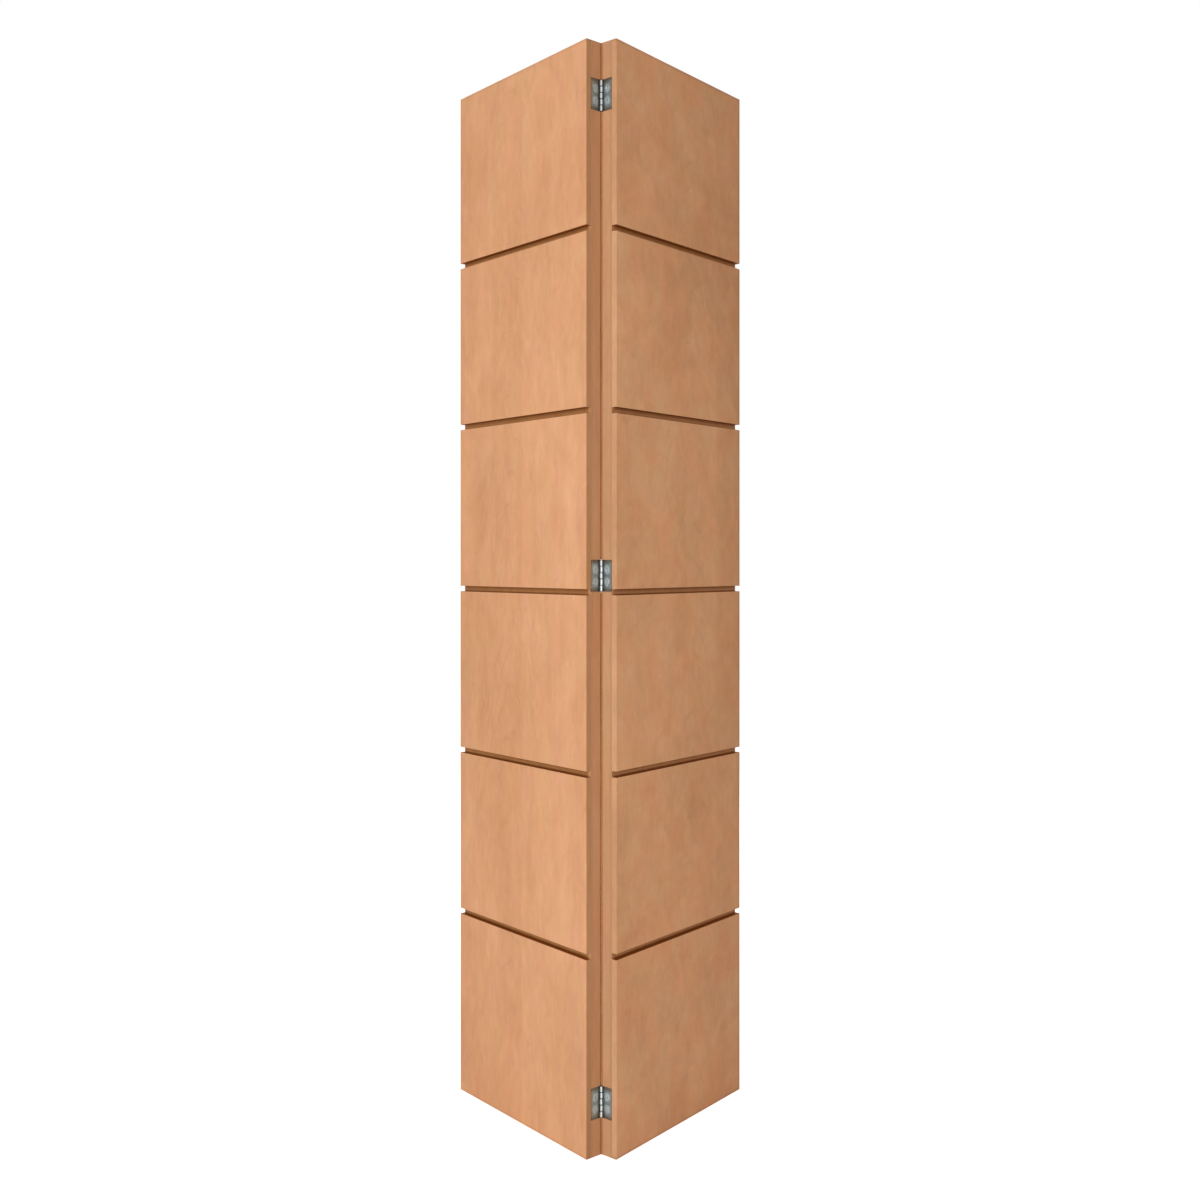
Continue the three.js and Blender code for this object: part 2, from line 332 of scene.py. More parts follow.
def timber(
    name,
    side,
    colour="cd956c",
    side_colour=None,
    end_colour="8b4a17",
    sawn_colour="946640",
    grain="Z",
    seed=0.0,
    figure=1.0,
    dashes=1.0,
    bands=1.0,
    patches=1.0,
    stretch=2.6,
    rim_shade=0.0,
    lean=0.0,
    hue_change=1.0,
    edge_colour=None,
    stained=0.0,
    groove_floor_light_and_shade=None,
    veneer_joints=(),
):
    """Wood whose grain runs along one axis of the panel: soft mottling and bands, arched growth
    figure, fine fibres, short dashes and darker end grain, with painted shade and light in the
    grooves, and plain where the door is sawn off. figure, dashes, bands, patches and hue_change are
    how strong those are.

    stretch: how much longer than wide the patches are
    rim_shade: painted shade, how much darker the panel is along its outer edge and its ends
    lean: painted shade, how much darker the surface gets over each metre from the meeting edge, as
    if the light fell off across the panel
    side_colour: the narrow sides that run along the grain
    sawn_colour: end grain at the top and bottom of the door
    edge_colour, stained: the raw edge of a skin's board, and how uneven its tone is
    groove_floor_light_and_shade: a groove's floor colours with painted shade and light, in its
    middle, in its corners, and where it runs out
    veneer_joints: joints between sheets of veneer, as (place across, tone beyond it)
    """
    look = Look(name)
    xyz, facing = panel_place(look, side)
    if grain == "Z":
        across, deep, along, end = xyz["X"], xyz["Y"], xyz["Z"], facing["Z"]
    else:
        across, deep, along, end = xyz["Z"], xyz["Y"], xyz["X"], facing["X"]
    along = look.math("ADD", along, seed)
    place = look.vector(across, deep, along)

    def mottled(kind, **settings):
        scale = MOTTLED[kind]
        return look.noise(look.scaled(place, (scale, scale, scale / stretch)), **settings)

    def grained(kind, where, **settings):
        return look.noise(look.scaled(where, GRAINED[kind]), **settings)

    # Slow changes of tone and hue, longer along the grain than across it
    wide = grained("wide", place, detail=2)
    patch = mottled("patch", detail=2, distortion=0.8)
    cloud = mottled("cloud", detail=2, distortion=1.2)
    warm = mottled("warm", detail=2, distortion=0.5)
    warm_bands = grained("warm_bands", place, detail=2)
    blotch = mottled("blotch", detail=1, distortion=0.5)

    # Growth figure: lines that close in arches along the grain
    waver = grained("waver", place, detail=3)
    ripple = grained("ripple", place, detail=2)
    middle = look.math("SUBTRACT", across, ARCH_CENTRE)
    rings = look.sum(
        look.math("MULTIPLY", look.math("MULTIPLY", middle, middle), ARCH_BOW),
        look.math("MULTIPLY", along, RINGS_ALONG),
        look.math("MULTIPLY", waver, RINGS_WAVER),
        look.math("MULTIPLY", ripple, RINGS_RIPPLE),
        look.math("MULTIPLY", deep, RINGS_DEEP),
    )
    ring_lines = look.noise(look.vector(rings, 0.0, 0.0), detail=3, roughness=0.6)
    ring_edge = look.steps(look.math("PINGPONG", rings, 0.5), *RING_EDGE)
    ring_edge = look.math("MULTIPLY", ring_edge, look.steps(warm, *RING_EDGE_SHOWS))

    # Fibres, fine and coarse, and short dashes, which follow the figure a little
    drift = look.math(
        "MULTIPLY_ADD", waver, DRIFT_WAVER, look.math("MULTIPLY", ripple, DRIFT_RIPPLE)
    )
    fibre_place = look.vector(look.math("ADD", across, drift), deep, along)
    fine = grained("fine", fibre_place, detail=2)
    coarse = grained("coarse", fibre_place, detail=3, roughness=0.6)
    band = grained("band", fibre_place, detail=1)
    streak = grained("streak", fibre_place, detail=2, distortion=0.6)
    dark_dash = look.steps(streak, *DARK_DASH)
    light_dash = look.steps(look.math("MULTIPLY", streak, -1.0), *LIGHT_DASH)
    pores = look.steps(grained("pores", fibre_place, detail=1), *PORE)

    shares = TONE_SHARES
    tone = look.sum(
        look.math("MULTIPLY", wide, shares["wide"] * patches * patches),
        look.math("MULTIPLY", patch, shares["patch"] * patches),
        look.math("MULTIPLY", cloud, shares["cloud"]),
        look.math("MULTIPLY", band, shares["band"] * bands),
        look.math("MULTIPLY", ring_lines, shares["ring_lines"] * figure),
        look.math("MULTIPLY", ring_edge, shares["ring_edge"] * figure),
        look.math("MULTIPLY", coarse, shares["coarse"]),
        look.math("MULTIPLY", fine, shares["fine"] + shares["fine_dashes"] * dashes),
        look.math("MULTIPLY", dark_dash, shares["dark_dash"] * dashes),
        look.math("MULTIPLY", light_dash, shares["light_dash"] * dashes),
        look.math("MULTIPLY", pores, shares["pores"] * dashes),
        1.0,
    )
    for joint, beyond in veneer_joints:
        is_beyond = look.steps(xyz["X"], joint - JOINT_BLUR, joint + JOINT_BLUR)
        tone = look.math("MULTIPLY", tone, look.math("MULTIPLY_ADD", is_beyond, beyond - 1.0, 1.0))
    # Painted shade: darker over each metre from the meeting edge, as if the light fell off across
    # the panel
    leaning = look.math("MULTIPLY_ADD", xyz["X"], -lean, 1.0 + lean * LEAN_PIVOT)
    tone = look.math("MULTIPLY", tone, leaning)

    # Painted shade: darker along the panel's outer edge and ends
    from_centre = look.math("ABSOLUTE", look.math("SUBTRACT", xyz["Z"], DOOR_HEIGHT / 2))
    from_rim = look.math(
        "MINIMUM",
        look.math("SUBTRACT", PANEL_REACH, xyz["X"]),
        look.math("SUBTRACT", DOOR_HEIGHT / 2, from_centre),
    )
    rim_tone = look.math("MULTIPLY_ADD", look.steps(from_rim, *RIM), rim_shade, 1.0 - rim_shade)
    tone = look.math("MULTIPLY", tone, rim_tone)

    is_face = look.steps(look.math("ABSOLUTE", facing["Y"]), *FACE_SHARE)
    if groove_floor_light_and_shade:
        # Painted shade: darker towards the two corners of the groove, and further from the upper
        # one, as the upper board's shadow
        from_groove = look.math("SUBTRACT", xyz["Z"], LOWEST_GROOVE)
        from_middle = look.math("WRAP", from_groove, GROOVE_PITCH / 2, -GROOVE_PITCH / 2)
        in_lower = look.steps(look.math("MULTIPLY", from_middle, -1.0), *LOWER_CORNER)
        in_upper = look.steps(from_middle, *UPPER_CORNER)
        in_corner = look.math("MAXIMUM", in_lower, in_upper)
        hue = look.blend(in_corner, linear(groove_floor_light_and_shade[0]), linear(groove_floor_light_and_shade[1]))
        # Painted light: lighter where a groove runs out at the meeting edge, where more light
        # reaches the floor
        hue = look.blend(look.steps(xyz["X"], *OPEN_END), linear(groove_floor_light_and_shade[2]), hue)
    else:
        # Pinker in some patches and bands, straw-coloured in others
        red, green, blue, _ = linear(colour)
        shift = HUE_REACH * hue_change
        redder, greener = HUE_RED * shift, HUE_GREEN * shift
        pink = [red * (1 + redder), green * (1 - greener), blue * (1 - shift), 1.0]
        straw = [red * (1 - redder), green * (1 + greener), blue * (1 + shift), 1.0]
        hue = look.blend(look.steps(warm, *HUE_WARM), pink, straw)
        yellow = look.sum(look.math("MULTIPLY", warm_bands, bands), blotch)
        green_factor = look.math("MULTIPLY_ADD", yellow, YELLOW_GREEN, 1.0)
        blue_factor = look.math("MULTIPLY_ADD", yellow, YELLOW_BLUE, 1.0)
        hue = look.scaled(hue, look.vector(1.0, green_factor, blue_factor))
    if side_colour:
        hue = look.blend(is_face, linear(side_colour), hue)
    surface = look.wood_tint(hue, tone)

    if edge_colour:
        # A skin shows veneer on its broad faces only
        raw_tone = look.sum(
            look.math("MULTIPLY", grained("fuzz", place, detail=2), FUZZ_SHARE),
            look.math("MULTIPLY", grained("stain", place, detail=3), stained),
            1.0,
        )
        colours = look.blend(is_face, look.tint(linear(edge_colour), raw_tone), surface)
    else:
        # End grain, with the growth rings cut across. Painted light: groove walls that face up are
        # lighter than those that face down, as if lit from above.
        end_tone = look.sum(
            look.math("MULTIPLY", grained("end_lines", place, detail=2), END_LINES_SHARE),
            look.math("MULTIPLY", ring_lines, END_RINGS_SHARE),
            1.0,
        )
        sawn_from, sawn_full = (DOOR_HEIGHT / 2 - reach for reach in SAWN_END)
        wall_painted_light = look.math("MULTIPLY_ADD", end, END_WALL_PAINTED_LIGHT, 1.0)
        end_hue = look.blend(
            look.steps(from_centre, sawn_from, sawn_full),
            look.tint(linear(end_colour), wall_painted_light),
            linear(sawn_colour),
        )
        is_end = look.steps(look.math("ABSOLUTE", end), *END_SHARE)
        colours = look.blend(is_end, surface, look.tint(end_hue, end_tone))

    look.set(look.shader.inputs["Base Color"], colours)
    rough = look.sum(
        look.math("MULTIPLY", coarse, COARSE_ROUGHENS),
        look.math("MULTIPLY", pores, PORES_ROUGHEN),
        WOOD_ROUGHNESS,
    )
    look.set(look.shader.inputs["Roughness"], rough)
    look.shader.inputs["Specular IOR Level"].default_value = WOOD_SPECULAR
    height = look.sum(
        look.math("MULTIPLY", fine, RELIEF_SHARES["fine"]),
        look.math("MULTIPLY", coarse, RELIEF_SHARES["coarse"]),
        look.math("MULTIPLY", dark_dash, RELIEF_SHARES["dark_dash"]),
        look.math("MULTIPLY", pores, RELIEF_SHARES["pores"]),
    )
    look.bump(height, WOOD_RELIEF, RELIEF_STRENGTH)
    return look.material


def kraft_paper():
    look = Look("kraft_paper")
    source = look.node("ShaderNodeTexCoord").outputs["Object"]
    cloudy = look.noise(look.scaled(source, (60.0, 60.0, 60.0)), detail=4)
    fibres = look.noise(look.scaled(source, (900.0, 900.0, 500.0)), detail=2)
    tone = look.sum(look.math("MULTIPLY", cloudy, 0.05), look.math("MULTIPLY", fibres, 0.06), 1.0)
    look.set(look.shader.inputs["Base Color"], look.tint(linear("b08a5c"), tone))
    look.shader.inputs["Roughness"].default_value = 0.9
    look.bump(fibres, 0.0001, 0.5)
    return look.material


# Zinc noises, in features per metre, and how much of each goes into tone and roughness

CLOUDS = (210.0, 210.0, 130.0)
LINES = (2600.0, 2600.0, 120.0)
PITS = (900.0, 900.0, 900.0)
BLOTCHES = (150.0, 150.0, 190.0)
UNEVENNESS = (330.0, 330.0, 240.0)
CLOUD_TONE = 0.10
LINE_TONE = 0.05
PIT_TONE = -0.12
PIT_EDGE = (0.8, 1.3)
CLOUDS_ROUGHEN = 0.05
LINES_ROUGHEN = 0.04
LINE_HEIGHT = 0.5
PIT_HEIGHT = 0.5
ZINC_RELIEF = 0.00003

# Hinge plating and its painted shade and highlights: places and widths in metres, from the pins'
# axis, the hinge's middle or a screw

LEAF_START = (0.00285, 0.00310)
# Painted shade on the leaves beside the barrel
BARREL_SHADE_REACH = (0.0050, 0.0092)
BARREL_SHADE_UNEVEN = 0.0012
# Painted shade at the leaves' ends and along their outer rims
END_DARK = (0.0200, 0.0262)
END_DARKENS = -0.42
RIM_DARK = (0.0218, 0.0238)
RIM_DARKENS = -0.26
# A painted brown shade and reflection of the wood at the leaves' ends and rims
BROWN_SHADE_END = (0.0205, 0.0268)
BROWN_SHADE_RIM = (0.0190, 0.0232)
BROWN_SHADE_HUE = (0.22, -0.07, -0.28)
MOTTLE_HUE = ((0.10, 0.98), (0.12, 1.0), (0.20, 1.0))
# A painted highlight on the leaves round the screws
SCREW_HIGHLIGHT_REACH = (0.0040, 0.0082)
SCREW_HIGHLIGHT_UNEVEN = 0.0013
SCREW_HIGHLIGHT_SQUASH = 0.78
JOINT_DARK = (0.0005, 0.0016)
JOINT_TONE = 0.25
BARREL_POLISH = 0.10


def zinc(name, colour, roughness, brushed=1.0, centre=None, side=None):
    """Zinc plate: fine drawn lines along the hinge, cloudy plating and small pits. With a hinge's
    centre, its height in millimetres, the barrel is painted bright as a highlight and darker at its
    joints, the leaves next to it and at their ends and rims get painted shade, and the leaves get
    painted highlights round their screws."""
    look = Look(name)
    source = look.node("ShaderNodeTexCoord").outputs["Object"]
    cloudy = look.noise(look.scaled(source, CLOUDS), detail=4, roughness=0.6)
    lines = look.noise(look.scaled(source, LINES), detail=2)
    pits = look.noise(look.scaled(source, PITS), detail=2)
    tone = look.sum(
        look.math("MULTIPLY", cloudy, CLOUD_TONE),
        look.math("MULTIPLY", lines, LINE_TONE * brushed),
        look.math("MULTIPLY", look.steps(pits, *PIT_EDGE), PIT_TONE),
        1.0,
    )
    rough = look.sum(
        look.math("MULTIPLY", cloudy, CLOUDS_ROUGHEN),
        look.math("MULTIPLY", lines, LINES_ROUGHEN * brushed),
        roughness,
    )
    if centre:
        base, is_leaf = hinge_plating(look, source, tone, linear(colour), centre, side)
        polish = look.math("MULTIPLY_ADD", is_leaf, BARREL_POLISH, -BARREL_POLISH)
        rough = look.math("ADD", rough, polish)
    else:
        base = look.tint(linear(colour), tone)
    look.set(look.shader.inputs["Base Color"], base)
    look.shader.inputs["Metallic"].default_value = 1.0
    look.set(look.shader.inputs["Roughness"], rough)
    height = look.sum(
        look.math("MULTIPLY", lines, LINE_HEIGHT * brushed),
        look.math("MULTIPLY", pits, PIT_HEIGHT),
    )
    look.bump(height, ZINC_RELIEF, RELIEF_STRENGTH)
    return look.material


def hinge_plating(look, source, tone, leaf_colour, centre, side):
    """The colours of a hinge's barrel and leaf, and 1 where the surface is the leaf."""
    place = look.node("ShaderNodeSeparateXYZ", {"Vector": source}).outputs
    from_axis = look.math(
        "SQRT",
        look.math(
            "ADD",
            look.math("POWER", look.math("SUBTRACT", place["X"], PIN_AXIS.x), 2.0),
            look.math("POWER", look.math("SUBTRACT", place["Y"], PIN_AXIS.y), 2.0),
        ),
    )
    from_end = look.math("SUBTRACT", place["Z"], (centre - HINGE_LENGTH / 2) * MM)
    wave = look.math("PINGPONG", from_end, HINGE_LENGTH / KNUCKLES * MM)
    half_way = HINGE_LENGTH / KNUCKLES / 2 * MM
    from_joint = look.math(
        "SUBTRACT", half_way, look.math("ABSOLUTE", look.math("SUBTRACT", wave, half_way))
    )
    from_middle = look.math("ABSOLUTE", look.math("SUBTRACT", place["Z"], centre * MM))

    is_leaf = look.steps(from_axis, *LEAF_START)
    blotch = look.noise(look.scaled(source, BLOTCHES), detail=2, distortion=0.6)
    uneven = look.noise(look.scaled(source, UNEVENNESS), detail=2)
    mottle = look.vector(
        *(look.math("MULTIPLY_ADD", blotch, share, start) for share, start in MOTTLE_HUE)
    )

    # Painted shade beside the barrel and at the leaf's ends and rims, and a painted brown shade and
    # reflection of the wood there
    barrel_shade = BARREL_SHADE_TONES[side]
    from_barrel = look.math("MULTIPLY_ADD", uneven, BARREL_SHADE_UNEVEN, from_axis)
    beside_barrel = look.math(
        "MULTIPLY_ADD", look.steps(from_barrel, *BARREL_SHADE_REACH), 1.0 - barrel_shade, barrel_shade
    )
    near_end = look.math("MULTIPLY_ADD", look.steps(from_middle, *END_DARK), END_DARKENS, 1.0)
    near_rim = look.math("MULTIPLY_ADD", look.steps(from_axis, *RIM_DARK), RIM_DARKENS, 1.0)
    brown_shade = look.math(
        "MAXIMUM", look.steps(from_middle, *BROWN_SHADE_END), look.steps(from_axis, *BROWN_SHADE_RIM)
    )
    brown_shade_hue = look.vector(*(look.math("MULTIPLY_ADD", brown_shade, share, 1.0) for share in BROWN_SHADE_HUE))

    # Painted highlight round the screws
    from_screw_height = look.math("SUBTRACT", from_middle, SCREW_OFFSETS["upper"] * MM)
    distance = look.node("ShaderNodeVectorMath", operation="LENGTH")
    look.set(
        distance.inputs[0],
        look.vector(
            look.math("SUBTRACT", from_axis, SCREW_DEPTH * MM),
            look.math("MULTIPLY", from_screw_height, SCREW_HIGHLIGHT_SQUASH),
            0.0,
        ),
    )
    gain = SCREW_HIGHLIGHT_GAIN[side]
    from_screw = look.math("MULTIPLY_ADD", uneven, SCREW_HIGHLIGHT_UNEVEN, distance.outputs["Value"])
    screw_highlight = look.math("MULTIPLY_ADD", look.steps(from_screw, *SCREW_HIGHLIGHT_REACH), -gain, 1.0 + gain)

    leaf_tone = look.math("MULTIPLY", look.math("MULTIPLY", beside_barrel, near_rim), near_end)
    leaf_tone = look.math("MULTIPLY", leaf_tone, look.math("MULTIPLY", screw_highlight, tone))
    joint_tone = look.math(
        "MULTIPLY_ADD", look.steps(from_joint, *JOINT_DARK), 1.0 - JOINT_TONE, JOINT_TONE
    )
    colours = look.blend(
        is_leaf,
        look.tint(linear(BARREL_HIGHLIGHT_COLOUR), look.math("MULTIPLY", joint_tone, tone)),
        look.scaled(look.scaled(look.tint(leaf_colour, leaf_tone), mottle), brown_shade_hue),
    )
    return colours, is_leaf


def dress(node_name, material):
    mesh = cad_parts[node_name].data
    mesh.materials.clear()
    mesh.materials.append(material)


paper = kraft_paper()

# One wood on both panels: the left board edges are a darker copy as painted shade, and lean and
# rim_shade are painted shade
PANEL_LOOKS = {
    "left": {
        "seed": 3.0,
        "stile_seed": 56.0,
        "dashes": 0.65,
        "bands": 0.68,
        "stretch": 2.4,
        "rim_shade": 0.11,
        "lean": 0.0,
        "patches": 1.3,
        "hue_change": 0.62,
        "face": "ce976f",
        "board_edge": "a87852",
        "stile": "b17f5a",
        "groove_floor_light_and_shade": ("9f6c41", "7d4e27", "b5825b"),
        "groove_wall": "99551f",
        "veneer_joints": ((0.192, 0.962),),
    },
    "right": {
        "seed": 11.0,
        "stile_seed": 24.0,
        "dashes": 0.36,
        "bands": 0.15,
        "stretch": 1.3,
        "rim_shade": 0.21,
        "lean": 0.34,
        "patches": 1.45,
        "hue_change": 1.35,
        "face": "cc9368",
        "board_edge": "b88a66",
        "stile": "b38662",
        "groove_floor_light_and_shade": ("b67b4e", "88542a", "b67b4e"),
        "groove_wall": "8b4a17",
        "veneer_joints": ((0.318, 0.960),),
    },
}

for side, tones in PANEL_LOOKS.items():
    seed = tones["seed"]
    face = timber(
        f"{side}_face_veneer",
        side,
        colour=tones["face"],
        side_colour=tones["board_edge"],
        end_colour=tones["groove_wall"],
        seed=seed,
        dashes=tones["dashes"],
        bands=tones["bands"],
        stretch=tones["stretch"],
        rim_shade=tones["rim_shade"],
        lean=tones["lean"],
        patches=tones["patches"],
        hue_change=tones["hue_change"],
        veneer_joints=tones["veneer_joints"],
    )
    front_skin = timber(
        f"{side}_front_skin_veneer",
        side,
        seed=seed + 5.0,
        edge_colour=tones["stile"],
        groove_floor_light_and_shade=tones["groove_floor_light_and_shade"],
    )
    back_skin = timber(
        f"{side}_back_skin_veneer", side, seed=seed + 9.0, edge_colour="8e5924", stained=0.36
    )
    stile = timber(
        f"{side}_stile_timber",
        side,
        colour=tones["stile"],
        end_colour="946640",
        seed=tones["stile_seed"],
        figure=0.4,
        dashes=0.6,
    )
    rail = timber(
        f"{side}_rail_timber",
        side,
        colour=tones["stile"],
        end_colour="946640",
        grain="X",
        seed=seed + 17.0,
    )
    for number in range(1, 7):
        dress(f"{side}_face_board_{number}", face)
    dress(f"{side}_front_skin", front_skin)
    dress(f"{side}_back_skin", back_skin)
    for which in ("hinge", "outer"):
        dress(f"{side}_{which}_stile", stile)
    for which in ("top", "bottom"):
        dress(f"{side}_{which}_rail", rail)
    dress(f"{side}_honeycomb_core", paper)


# Shapes of the hinges' pieces


def lathe(profile, axis):
    """A closed solid turned round the z axis, or round the x axis, from (radius, place) pairs that
    start and end on the axis."""
    shape = bmesh.new()
    rings = []
    for radius, place in profile:
        if radius == 0:
            rings.append([shape.verts.new((0, 0, place))] * ROUND)
        else:
            rings.append([
                shape.verts.new((
                    radius * math.cos(2 * math.pi * i / ROUND),
                    radius * math.sin(2 * math.pi * i / ROUND),
                    place,
                ))
                for i in range(ROUND)
            ])
    for low, high in zip(rings, rings[1:]):
        for i in range(ROUND):
            j = (i + 1) % ROUND
            corners = list(dict.fromkeys((low[i], low[j], high[j], high[i])))
            shape.faces.new(corners)
    bmesh.ops.recalc_face_normals(shape, faces=shape.faces)
    if axis == "X":
        bmesh.ops.transform(shape, matrix=Matrix.Rotation(math.pi / 2, 4, "Y"), verts=shape.verts)
    return shape


def prism(outline, low, high, axis="Z"):
    """A closed solid of an outline of 2-D points, between two places along an axis."""
    shape = bmesh.new()
    turned = {"Z": lambda p, w: (p[0], p[1], w), "X": lambda p, w: (w, p[0], p[1])}[axis]
    ends = [[shape.verts.new(turned(p, w)) for p in outline] for w in (low, high)]
    shape.faces.new(ends[0])
    shape.faces.new(ends[1])
    for i in range(len(outline)):
        j = (i + 1) % len(outline)
        shape.faces.new((ends[0][i], ends[0][j], ends[1][j], ends[1][i]))
    bmesh.ops.recalc_face_normals(shape, faces=shape.faces)
    return shape


def circle(radius):
    return [
        (radius * math.cos(2 * math.pi * i / ROUND), radius * math.sin(2 * math.pi * i / ROUND))
        for i in range(ROUND)
    ]


def moved(shape, y=0.0, z=0.0):
    bmesh.ops.translate(shape, vec=(0, y, z), verts=shape.verts)
    return shape


def scratch_object(shape):
    mesh = bpy.data.meshes.new("scratch")
    shape.to_mesh(mesh)
    shape.free()
    made = bpy.data.objects.new("scratch", mesh)
    bpy.context.scene.collection.objects.link(made)
    return made


def combined(base, steps):
    """The base shape after a list of (operation, shape) steps, each UNION or DIFFERENCE."""
    body = scratch_object(base)
    tools = []
    for operation, shape in steps:
        tool = scratch_object(shape)
        tools.append(tool)
        modifier = body.modifiers.new("cut", "BOOLEAN")
        modifier.operation = operation
        modifier.solver = "EXACT"
        modifier.object = tool
    evaluated = body.evaluated_get(bpy.context.evaluated_depsgraph_get())
    result = bmesh.new()
    result.from_mesh(evaluated.to_mesh())
    evaluated.to_mesh_clear()
    for scratch in [body, *tools]:
        mesh = scratch.data
        bpy.data.objects.remove(scratch)
        bpy.data.meshes.remove(mesh)
    return result


def broken_edges(shape):
    """Rounds every sharp edge over a small width."""
    bmesh.ops.remove_doubles(shape, verts=shape.verts, dist=WELD_DISTANCE)
    bmesh.ops.dissolve_limit(shape, angle_limit=FLAT_ANGLE, verts=shape.verts, edges=shape.edges)
    sharp = [
        e for e in shape.edges if len(e.link_faces) == 2 and e.calc_face_angle(0) > SHARP_ANGLE
    ]
    bmesh.ops.bevel(
        shape,
        geom=sharp,
        offset=EDGE_BREAK,
        offset_type="OFFSET",
        segments=2,
        profile=0.5,
        affect="EDGES",
        clamp_overlap=True,
    )
    return shape


def finish_piece(shape, name, side, height, body, node, material):
    """Puts a shape in its place in the row frame, as a piece that stands for its CAD node."""
    matrix = panel_matrix(side) @ Matrix.Translation(Vector((0, 0, height)))
    bmesh.ops.transform(shape, matrix=matrix, verts=shape.verts)
    if matrix.determinant() < 0:
        bmesh.ops.reverse_faces(shape, faces=shape.faces)
    mesh = bpy.data.meshes.new(name)
    shape.to_mesh(mesh)
    shape.free()
    mesh.materials.append(material)
    mesh.shade_smooth()
    mesh.set_sharp_from_angle(angle=SMOOTH_ANGLE)
    piece = bpy.data.objects.new(name, mesh)
    bpy.context.scene.collection.objects.link(piece)
    even = piece.modifiers.new("even_normals", "WEIGHTED_NORMAL")
    even.keep_sharp = True
    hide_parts(node)
    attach(piece, body)


def leaf_outline():
    """A leaf seen square on, as depth and height: round corners at its outer edge."""
    half = HINGE_LENGTH / 2
    points = [(0, -half)]
    for centre_z, first in ((LEAF_CORNER - half, -90), (half - LEAF_CORNER, 0)):
        for i in range(CORNER_STEPS + 1):
            a = math.radians(first + 90 * i / CORNER_STEPS)
            points.append((
                LEAF_REACH - LEAF_CORNER + LEAF_CORNER * math.cos(a),
                centre_z + LEAF_CORNER * math.sin(a),
            ))
    points.append((0, half))
    return points


def leaf_shape(first):
    """A leaf centred on height 0, with every other knuckle from the first one, 0 or 1."""
    length = HINGE_LENGTH / KNUCKLES
    steps = []
    for i in range(KNUCKLES):
        low = i * length - HINGE_LENGTH / 2
        high = low + length
        is_own = i % 2 == first
        inner = -KNUCKLE_GAP / 2 if is_own else KNUCKLE_GAP / 2
        low -= inner if i > 0 else (0 if is_own else CUT_OVERLAP)
        high += inner if i < KNUCKLES - 1 else (0 if is_own else CUT_OVERLAP)
        if is_own:
            steps.append(("UNION", prism(circle(BARREL_RADIUS), low, high)))
        else:
            steps.append(("DIFFERENCE", prism(circle(BARREL_RADIUS + KNUCKLE_ROOM), low, high)))
    reach = HINGE_LENGTH / 2 + CUT_OVERLAP
    steps.append(("DIFFERENCE", prism(circle(BARREL_BORE), -reach, reach)))
    for offset in SCREW_OFFSETS.values():
        outer = SCREW_HEAD_RADIUS + SCREW_CLEARANCE
        inner = SCREW_SHANK_RADIUS + SCREW_CLEARANCE
        face = LEAF_FACES[0]
        sink = lathe(
            [
                (0, face - CUT_OVERLAP),
                (outer, face - CUT_OVERLAP),
                (outer, face + SCREW_HEAD_LIP),
                (inner, face + SCREW_HEAD_LIP + outer - inner),
                (inner, face + SINK_DEPTH),
                (0, face + SINK_DEPTH),
            ],
            "X",
        )
        steps.append(("DIFFERENCE", moved(sink, y=SCREW_DEPTH, z=offset)))
    return broken_edges(combined(prism(leaf_outline(), *LEAF_FACES, axis="X"), steps))


def pin_shape():
    """A pin with two riveted heads, crowned a little."""
    start = HINGE_LENGTH / 2 + PIN_GAP
    end = start + PIN_HEAD_THICKNESS
    rise = end - start - PIN_HEAD_RIM
    crown = []
    for i in range(CROWN_STEPS):
        a = math.pi / 2 * i / CROWN_STEPS
        crown.append((PIN_HEAD_RADIUS * math.cos(a), start + PIN_HEAD_RIM + rise * math.sin(a)))
    upper = [(PIN_RADIUS, start), (PIN_HEAD_RADIUS, start), *crown, (0, end)]
    lower = [(radius, -place) for radius, place in reversed(upper)]
    return lathe([*lower, *upper], "Z")


THREAD_PITCH = 1.9
THREAD_CREST = 0.16
THREAD_ROOT = 0.45
THREAD_STEPS = 20
THREAD_RINGS = 7
RIDGE_SLOPE = 3.2
TIP_LENGTH = 4.0
TIP_RADIUS = 0.05
TIP_TAPER = 0.7
NECK_LENGTH = 2
NECK_OVERLAP = 0.4
HEAD_EASE = 0.12
HEAD_EASE_DEPTH = 0.1
RECESS_REACH = 2.3
RECESS_WIDTH = 1.1
RECESS_DEPTH = 1.9
RECESS_START = -0.3
RECESS_SHARES = (1.15, 0.35)
RECESS_TAPER = 0.25
BOX_FACES = ((0, 1, 2, 3), (4, 5, 6, 7), (0, 1, 5, 4), (1, 2, 6, 5), (2, 3, 7, 6), (3, 0, 4, 7))


def thread_shape(start, end):
    """The threaded shank of a screw along x, from start to its pointed end."""
    shape = bmesh.new()
    count = int((end - start) / THREAD_PITCH * THREAD_RINGS)
    rings = []
    for n in range(count + 1):
        place = start + (end - start) * n / count
        taper = min(1.0, (end - place) / TIP_LENGTH)
        ring = []
        for i in range(THREAD_STEPS):
            phase = (place / THREAD_PITCH - i / THREAD_STEPS) % 1.0
            ridge = max(0.0, 1 - abs(phase - 0.5) * RIDGE_SLOPE)
            radius = SCREW_SHANK_RADIUS - THREAD_ROOT + (THREAD_ROOT + THREAD_CREST) * ridge
            radius = max(TIP_RADIUS, radius * taper ** TIP_TAPER)
            a = 2 * math.pi * i / THREAD_STEPS
            ring.append(shape.verts.new((place, radius * math.cos(a), radius * math.sin(a))))
        rings.append(ring)
    for low, high in zip(rings, rings[1:]):
        for i in range(THREAD_STEPS):
            j = (i + 1) % THREAD_STEPS
            shape.faces.new((low[i], low[j], high[j], high[i]))
    shape.faces.new(rings[0])
    shape.faces.new(rings[-1])
    bmesh.ops.recalc_face_normals(shape, faces=shape.faces)
    return shape


